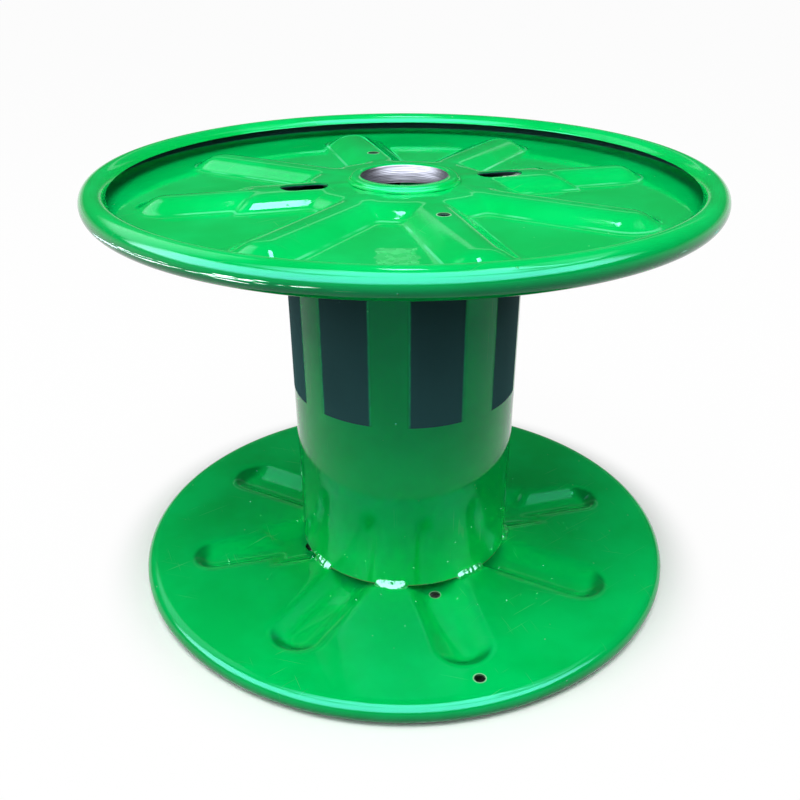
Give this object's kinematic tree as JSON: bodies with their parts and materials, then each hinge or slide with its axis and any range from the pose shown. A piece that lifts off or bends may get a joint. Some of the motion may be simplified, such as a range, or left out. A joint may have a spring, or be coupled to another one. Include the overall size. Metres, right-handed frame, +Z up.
{
  "type": "steel cable drum",
  "caption": "Pressed-steel cable drum with ribbed flanges, rolled rims, a welded barrel and a turned bush in each hub, for storing and winding cable or wire rope.",
  "frame": {"origin": "centre of the circle that the drum stands on, on its lower rim", "axes": "+Z up the drum's axis, +X through the drive slots, -Y through the outer rope holes"},
  "size_m": [0.5, 0.5, 0.364],
  "materials": {
    "green_paint": "gloss enamel",
    "painted_weld": "gloss enamel",
    "turned_steel": "turned"
  },
  "bodies": {
    "root": {"bottom_flange": "green_paint", "top_flange": "green_paint", "barrel": "green_paint", "bottom_hub_bush": "turned_steel", "top_hub_bush": "turned_steel", "bottom_weld_beads": "painted_weld", "top_weld_beads": "painted_weld"}
  },
  "joints": []
}
